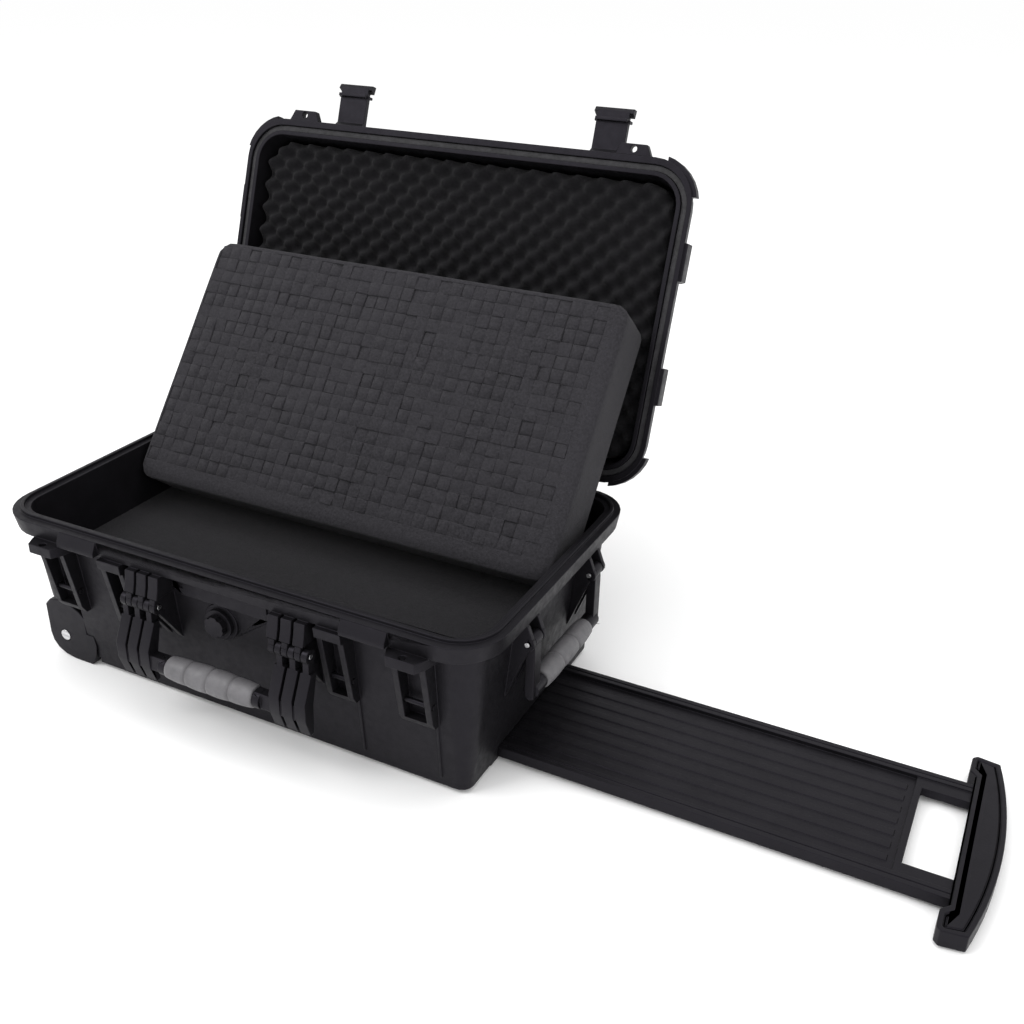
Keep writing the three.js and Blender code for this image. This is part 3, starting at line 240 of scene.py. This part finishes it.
# ---- Mesh helpers --------------------------------------------------------------------------
def new_object(name, vertices, faces, smooth=True):
    mesh = bpy.data.meshes.new(name)
    mesh.from_pydata([tuple(v) for v in vertices], [], faces)
    mesh.validate()
    grown = bmesh.new()
    grown.from_mesh(mesh)
    bmesh.ops.recalc_face_normals(grown, faces=grown.faces)
    grown.to_mesh(mesh)
    grown.free()
    for face in mesh.polygons:
        face.use_smooth = smooth
    obj = bpy.data.objects.new(name, mesh)
    bpy.context.scene.collection.objects.link(obj)
    return obj


def finish_piece(obj, nodes):
    """The piece stands for these CAD nodes, with their body and finish."""
    slot = NODE_SLOT[nodes[0]]
    obj.data.materials.clear()
    obj.data.materials.append(MATERIALS[slot])
    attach(obj, NODE_BODY[nodes[0]])
    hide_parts(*nodes)
    return obj


def rounded(node, width, segments=2):
    """A copy of a CAD node with flat faces merged and its sharp edges softly rounded."""
    mesh = frame["nodes"][node].data.copy()
    work = bmesh.new()
    work.from_mesh(mesh)
    bmesh.ops.remove_doubles(work, verts=work.verts, dist=2e-6)
    bmesh.ops.dissolve_degenerate(work, edges=work.edges, dist=2e-5)
    bmesh.ops.dissolve_limit(work, angle_limit=math.radians(0.6), verts=work.verts, edges=work.edges)
    for face in work.faces:
        face.smooth = True
    work.to_mesh(mesh)
    work.free()
    mesh.materials.clear()
    obj = bpy.data.objects.new(f"{node}_piece", mesh)
    bpy.context.scene.collection.objects.link(obj)
    bevel = obj.modifiers.new("edges", "BEVEL")
    bevel.width = width
    bevel.segments = segments
    bevel.limit_method = "ANGLE"
    bevel.angle_limit = BEVEL_ANGLE
    bevel.use_clamp_overlap = False
    bevel.miter_outer = "MITER_ARC" if segments > 2 else "MITER_SHARP"
    weighted = obj.modifiers.new("normals", "WEIGHTED_NORMAL")
    weighted.keep_sharp = False
    weighted.weight = 80
    return finish_piece(obj, [node])


def lathe(name, profile, axis, centre, nodes, steps=56):
    """profile: (radius, place along the axis) around a closed outline, in metres."""
    along = Vector((1, 0, 0)) if axis == "x" else Vector((0, 1, 0))
    side = Vector((0, 1, 0)) if axis == "x" else Vector((1, 0, 0))
    up = Vector((0, 0, 1))
    count = len(profile)
    vertices, faces = [], []
    for i in range(steps):
        a = 2 * math.pi * i / steps
        out = side * math.cos(a) + up * math.sin(a)
        vertices += [centre + along * h + out * r for r, h in profile]
    for i in range(steps):
        for j in range(count):
            a, b = i * count, (i + 1) % steps * count
            k = (j + 1) % count
            faces.append((a + j, a + k, b + k, b + j))
    return finish_piece(new_object(name, vertices, faces), nodes)


def into_outline(x, y, half_x, half_y, radius):
    """Moves a point that lies outside a rounded corner onto the corner's arc."""
    dx, dy = abs(x) - (half_x - radius), abs(y) - (half_y - radius)
    if dx <= 0 or dy <= 0:
        return x, y
    far = math.hypot(dx, dy)
    if far <= radius:
        return x, y
    scale = radius / far
    return (
        math.copysign(half_x - radius + dx * scale, x),
        math.copysign(half_y - radius + dy * scale, y),
    )


def slab(name, xs, ys, radius, back, face, move, nodes, taper=1.0):
    """A foam slab with the grid face face(x, y), rounded corners and a flat back at height back."""
    half_x, half_y = xs[-1], ys[-1]
    points = []
    for y in ys:
        for x in xs:
            px, py = into_outline(x, y, half_x, half_y, radius)
            points.append((px, py, face(px, py)))
    nx, ny = len(xs), len(ys)
    faces = [
        (j * nx + i, j * nx + i + 1, (j + 1) * nx + i + 1, (j + 1) * nx + i)
        for j in range(ny - 1)
        for i in range(nx - 1)
    ]
    border = (
        list(range(nx))
        + [j * nx + nx - 1 for j in range(1, ny)]
        + [(ny - 1) * nx + i for i in range(nx - 2, -1, -1)]
        + [j * nx for j in range(ny - 2, 0, -1)]
    )
    previous = border
    rows = 6
    for row in range(1, rows + 1):
        share = row / rows
        start = len(points)
        for b in border:
            x, y, z = points[b]
            grow = 1 + (taper - 1) * share
            wave = 0.35 * MM * noise.noise(Vector((x * 60, y * 60, share * 4 + half_x)))
            swell = 1 + (wave / half_y if row < rows else 0)
            points.append((x * grow * swell, y * grow * swell, z + (back - z) * share))
        current = list(range(start, start + len(border)))
        for k in range(len(border)):
            n = (k + 1) % len(border)
            faces.append((previous[k], current[k], current[n], previous[n]))
        previous = current
    faces.append(tuple(reversed(previous)))
    obj = new_object(name, [move @ Vector(p) for p in points], faces)
    sharp = obj.modifiers.new("normals", "EDGE_SPLIT")
    sharp.split_angle = math.radians(62)
    finish_piece(obj, nodes)
    return obj


def local_box(node, move):
    """The box of a CAD node in the frame that `move` brings to rest."""
    back = move.inverted()
    obj = frame["nodes"][node]
    points = [back @ (obj.matrix_world @ v.co) for v in obj.data.vertices]
    return [Vector([pick(p[i] for p in points) for i in range(3)]) for pick in (min, max)]


def steps(low, high, count):
    return [low + (high - low) * i / count for i in range(count + 1)]


def rolled_edge(x, y, half_x, half_y, radius, roll):
    """How far a foam face drops near its outline, as a cut edge that is slightly rounded."""
    dx, dy = half_x - abs(x), half_y - abs(y)
    near = min(dx, dy)
    if dx < radius and dy < radius:
        near = radius - math.hypot(radius - dx, radius - dy)
    near = max(0.0, min(near, roll))
    return roll - math.sqrt(max(0.0, roll ** 2 - (roll - near) ** 2))


# ---- Foam set ------------------------------------------------------------------------------
def lifted_block():
    """The pluck foam block, leaning on the lid, with a face of cut cells at uneven heights."""
    low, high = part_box("foam_block")
    half_x = (high.x - low.x) / 2
    edge_y = low.y + BLOCK_THICKNESS * math.sin(BLOCK_TILT)
    width = (high.z - low.z - BLOCK_THICKNESS * math.cos(BLOCK_TILT)) / math.sin(BLOCK_TILT)
    half_y = width / 2
    move = (
        Matrix.Translation((0, edge_y, low.z))
        @ Matrix.Rotation(BLOCK_TILT, 4, "X")
        @ Matrix.Translation((0, half_y, 0))
    )

    def cuts(half, low_border, high_border, count):
        """Grid places: two in and two beside each cut, and one in the middle of each cell."""
        pitch = (2 * half - low_border - high_border) / count
        places = [-half, -half + 1.2 * MM, -half + low_border * 0.6]
        for i in range(count + 1):
            at = -half + low_border + i * pitch
            places += [at - CUT_SHOULDER, at - CUT_HALF, at + CUT_HALF, at + CUT_SHOULDER]
            if i < count:
                places.append(at + pitch / 2)
        return places + [half - high_border * 0.6, half - 1.2 * MM, half], pitch

    xs, pitch_x = cuts(half_x, LEFT_BORDER, PLAIN_BORDER, PLUCK_COLUMNS)
    ys, pitch_y = cuts(half_y, PLAIN_BORDER, CUT_BORDER, PLUCK_ROWS)
    raised = {
        (i, j): random.gauss(0, CELL_STEP)
        for i in range(PLUCK_COLUMNS)
        for j in range(PLUCK_ROWS)
    }
    leaning = {key: (random.gauss(0, CELL_LEAN), random.gauss(0, CELL_LEAN)) for key in raised}
    open_cut = {key: random.random() for key in raised}

    def face(x, y):
        drop = rolled_edge(x, y, half_x, half_y, BLOCK_RADIUS, EDGE_ROLL)
        lift = 0.5 * MM * noise.noise(Vector((x * 14, y * 14, 3.1)))
        u, v = (x + half_x - LEFT_BORDER) / pitch_x, (y + half_y - PLAIN_BORDER) / pitch_y
        i, j = math.floor(u), math.floor(v)
        if (i, j) in raised and min(drop, 1) < 0.9 * MM:
            du, dv = u - i - 0.5, v - j - 0.5
            tilt_u, tilt_v = leaning[(i, j)]
            lift += raised[(i, j)] + (du * tilt_u + dv * tilt_v) * pitch_x * 2
            near = min(0.5 - abs(du), 0.5 - abs(dv)) * pitch_x
            if near < CUT_HALF + 0.3 * MM:
                lift -= SHALLOW_CUT + DEEPER_CUT * open_cut[(i, j)] ** 2
            elif near < CUT_SHOULDER + 0.15 * MM:
                lift -= SHOULDER_DROP
        return BLOCK_THICKNESS - 1.2 * MM + lift - drop

    return slab("foam_block_piece", xs, ys, BLOCK_RADIUS, 0.0, face, move, ["foam_block"])


def egg_crate():
    """The lid's foam, built as if the lid were shut and then opened with it."""
    move = Matrix.Translation(HINGE) @ Matrix.Rotation(-LID_OPEN, 4, "X") @ Matrix.Translation(-HINGE)
    low, high = local_box("lid_foam", move)
    half_x, half_y = high.x, high.y
    outer, back = low.z, high.z

    def face(x, y):
        wave = math.cos(2 * math.pi * x / CRATE_PITCH) * math.cos(2 * math.pi * y / CRATE_PITCH)
        bump = 0.5 - 0.5 * wave
        uneven = 0.8 * MM * noise.noise(Vector((x * 35, y * 35, 9.7)))
        drop = rolled_edge(x, y, half_x, half_y, CRATE_RADIUS, EDGE_ROLL)
        return outer + 0.9 * MM + CRATE_DEPTH * bump ** 0.85 + uneven + drop

    xs, ys = steps(-half_x, half_x, CRATE_GRID[0]), steps(-half_y, half_y, CRATE_GRID[1])
    foam = slab("lid_foam_piece", xs, ys, CRATE_RADIUS, back, face, move, ["lid_foam"])
    # The lid foam takes the darker copy of the dark foam: painted shade, not a different foam.
    foam.data.materials[0] = LID_FOAM_SHADED_LOOK


lifted_block()
egg_crate()
rounded("base_foam_layer", FOAM_EDGE, 3)
rounded("base_foam_pad", FOAM_EDGE, 3)


# ---- Handles and wheels --------------------------------------------------------------------
def grip_profile(half, radius, bore, segments, groove, barrel, crown):
    """Outline of a segmented sleeve with rounded grooves, fuller at its middle by the crown."""
    profile = [(bore, -half), (radius - 2.4 * MM, -half), (radius - 1.2 * MM, -half + 0.4 * MM)]
    for i in range(segments):
        a, b = -half + 2 * half * i / segments, -half + 2 * half * (i + 1) / segments
        inset = 1.1 * MM
        for k in range(9):
            share = k / 8
            swell = barrel * (1 - (2 * share - 1) ** 2)
            at = a + inset + (b - a - 2 * inset) * share
            profile.append((radius - barrel + swell + crown * (1 - (at / half) ** 2), at))
        if i < segments - 1:
            high = radius + crown * (1 - (b / half) ** 2)
            shoulder, half_cut = high - groove * 0.8, 0.5 * MM
            profile += [(shoulder, b - half_cut), (high - groove, b), (shoulder, b + half_cut)]
    profile += [(radius - 1.2 * MM, half - 0.4 * MM), (radius - 2.4 * MM, half), (bore, half)]
    return profile


def sleeve(node, axis, segments, bore, crown):
    """A grip sleeve in the box of its CAD node, turned around the node's long axis."""
    low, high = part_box(node)
    centre = (low + high) / 2
    half = (high - low)[0 if axis == "x" else 1] / 2
    radius = (high.z - low.z) / 2
    profile = grip_profile(half, radius, bore, segments, 1.6 * MM, 0.5 * MM, crown)
    return lathe(f"{node}_piece", profile, axis, centre, [node])


def tyre(node):
    """A tyre in the box of its CAD node, with a crowned tread and three tread lines."""
    low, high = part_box(node)
    centre = (low + high) / 2
    radius, half = (high.z - low.z) / 2, (high.y - low.y) / 2
    bore = radius - TYRE_SECTION
    profile = [(bore, -half), (radius - 3.2 * MM, -half), (radius - 2.2 * MM, -half + 0.4 * MM)]
    for k in range(15):
        share = k / 14
        rise = TREAD_CROWN * (1 - abs(2 * share - 1) ** 3)
        tread = TREAD_LINE if k in (4, 7, 10) else 0
        at = -half + 0.9 * MM + 2 * (half - 0.9 * MM) * share
        profile.append((radius - TREAD_CROWN + rise - tread, at))
    profile += [(radius - 2.2 * MM, half - 0.4 * MM), (radius - 3.2 * MM, half), (bore, half)]
    return lathe(f"{node}_piece", profile, "y", centre, [node], steps=72)


sleeve("front_handle_grip", "x", 4, 7.3 * MM, 1.8 * MM)
sleeve("side_handle_grip", "y", 3, 6.3 * MM, 1.0 * MM)
tyre("wheel_tyre_front")
tyre("wheel_tyre_rear")

DONE = {
    "foam_block", "lid_foam", "base_foam_layer", "base_foam_pad",
    "front_handle_grip", "side_handle_grip", "wheel_tyre_front", "wheel_tyre_rear",
}
EDGE_WIDTH = {
    "base_shell": 0.7, "lid_shell": 0.7, "trolley_grip": 1.2, "trolley_plate": 0.6, "latch_left": 0.5,
    "latch_right": 0.5, "front_handle_frame": 0.6, "side_handle_frame": 0.8, "wheel_housing_front": 1.0,
    "wheel_housing_rear": 1.0, "trolley_cover": 0.4,
}
for node in frame["nodes"]:
    if node not in DONE:
        rounded(node, EDGE_WIDTH.get(node, 0.35) * MM)


# ---- Floor, light and camera ---------------------------------------------------------------
FLOOR_REACH = 40
CAMERA_PLACE = (0.6207, -0.8344, 0.6920)
CAMERA_ANGLES = (25.975, 27.026, 1.317)  # degrees around the case, above it, and rolled
CAMERA_LENS = 40.166  # millimetres, on a sensor 36 wide


def make_stage():
    mesh = bpy.data.meshes.new("floor")
    corners = [(FLOOR_REACH * x, FLOOR_REACH * y, 0) for x, y in ((-1, -1), (1, -1), (1, 1), (-1, 1))]
    mesh.from_pydata(corners, [], [(0, 1, 2, 3)])
    floor = bpy.data.objects.new("floor", mesh)
    bpy.context.scene.collection.objects.link(floor)
    paint = bpy.data.materials.new("floor_white")
    paint.use_nodes = True
    shader = paint.node_tree.nodes["Principled BSDF"]
    shader.inputs["Base Color"].default_value = (0.99, 0.99, 0.99, 1)
    shader.inputs["Roughness"].default_value = 1.0
    shader.inputs["Specular IOR Level"].default_value = 0.0
    mesh.materials.append(paint)
    floor.location.z = -0.0005
    lamps = [  # name, place, what it points at, size, watts
        ("key", (-1.6, -1.7, 2.6), (0, 0, 0.15), 1.6, 46),
        ("top", (0.2, 0.3, 2.8), (0, 0, 0.2), 2.2, 24),
        ("side", (2.2, -1.6, 1.2), (0.2, 0, 0.15), 1.2, 8),
    ]
    for name, at, to, size, watts in lamps:
        data = bpy.data.lights.new(name, "AREA")
        data.size, data.energy = size, watts
        lamp = bpy.data.objects.new(name, data)
        lamp.location = at
        lamp.rotation_euler = (Vector(to) - Vector(at)).to_track_quat("-Z", "Y").to_euler()
        bpy.context.scene.collection.objects.link(lamp)
    world = bpy.data.worlds.new("studio")
    world.use_nodes = True
    world.node_tree.nodes["Background"].inputs["Color"].default_value = (1, 1, 1, 1)
    world.node_tree.nodes["Background"].inputs["Strength"].default_value = 1.0
    bpy.context.scene.world = world


def make_camera():
    azimuth, pitch, roll = (math.radians(angle) for angle in CAMERA_ANGLES)
    back = Vector((
        math.sin(azimuth) * math.cos(pitch), -math.cos(azimuth) * math.cos(pitch), math.sin(pitch)))
    right = Vector((0, 0, 1)).cross(back).normalized()
    up = back.cross(right)
    turned_right = right * math.cos(roll) + up * math.sin(roll)
    turned_up = -right * math.sin(roll) + up * math.cos(roll)
    data = bpy.data.cameras.new("camera")
    data.sensor_width = 36
    data.lens = CAMERA_LENS
    data.clip_start = 0.05
    camera = bpy.data.objects.new("camera", data)
    axes = Matrix((turned_right, turned_up, back)).transposed().to_4x4()
    camera.matrix_world = Matrix.Translation(CAMERA_PLACE) @ axes
    bpy.context.scene.collection.objects.link(camera)
    bpy.context.scene.camera = camera


make_stage()
make_camera()
bpy.context.scene.view_settings.view_transform = "Standard"

bpy.context.view_layer.update()
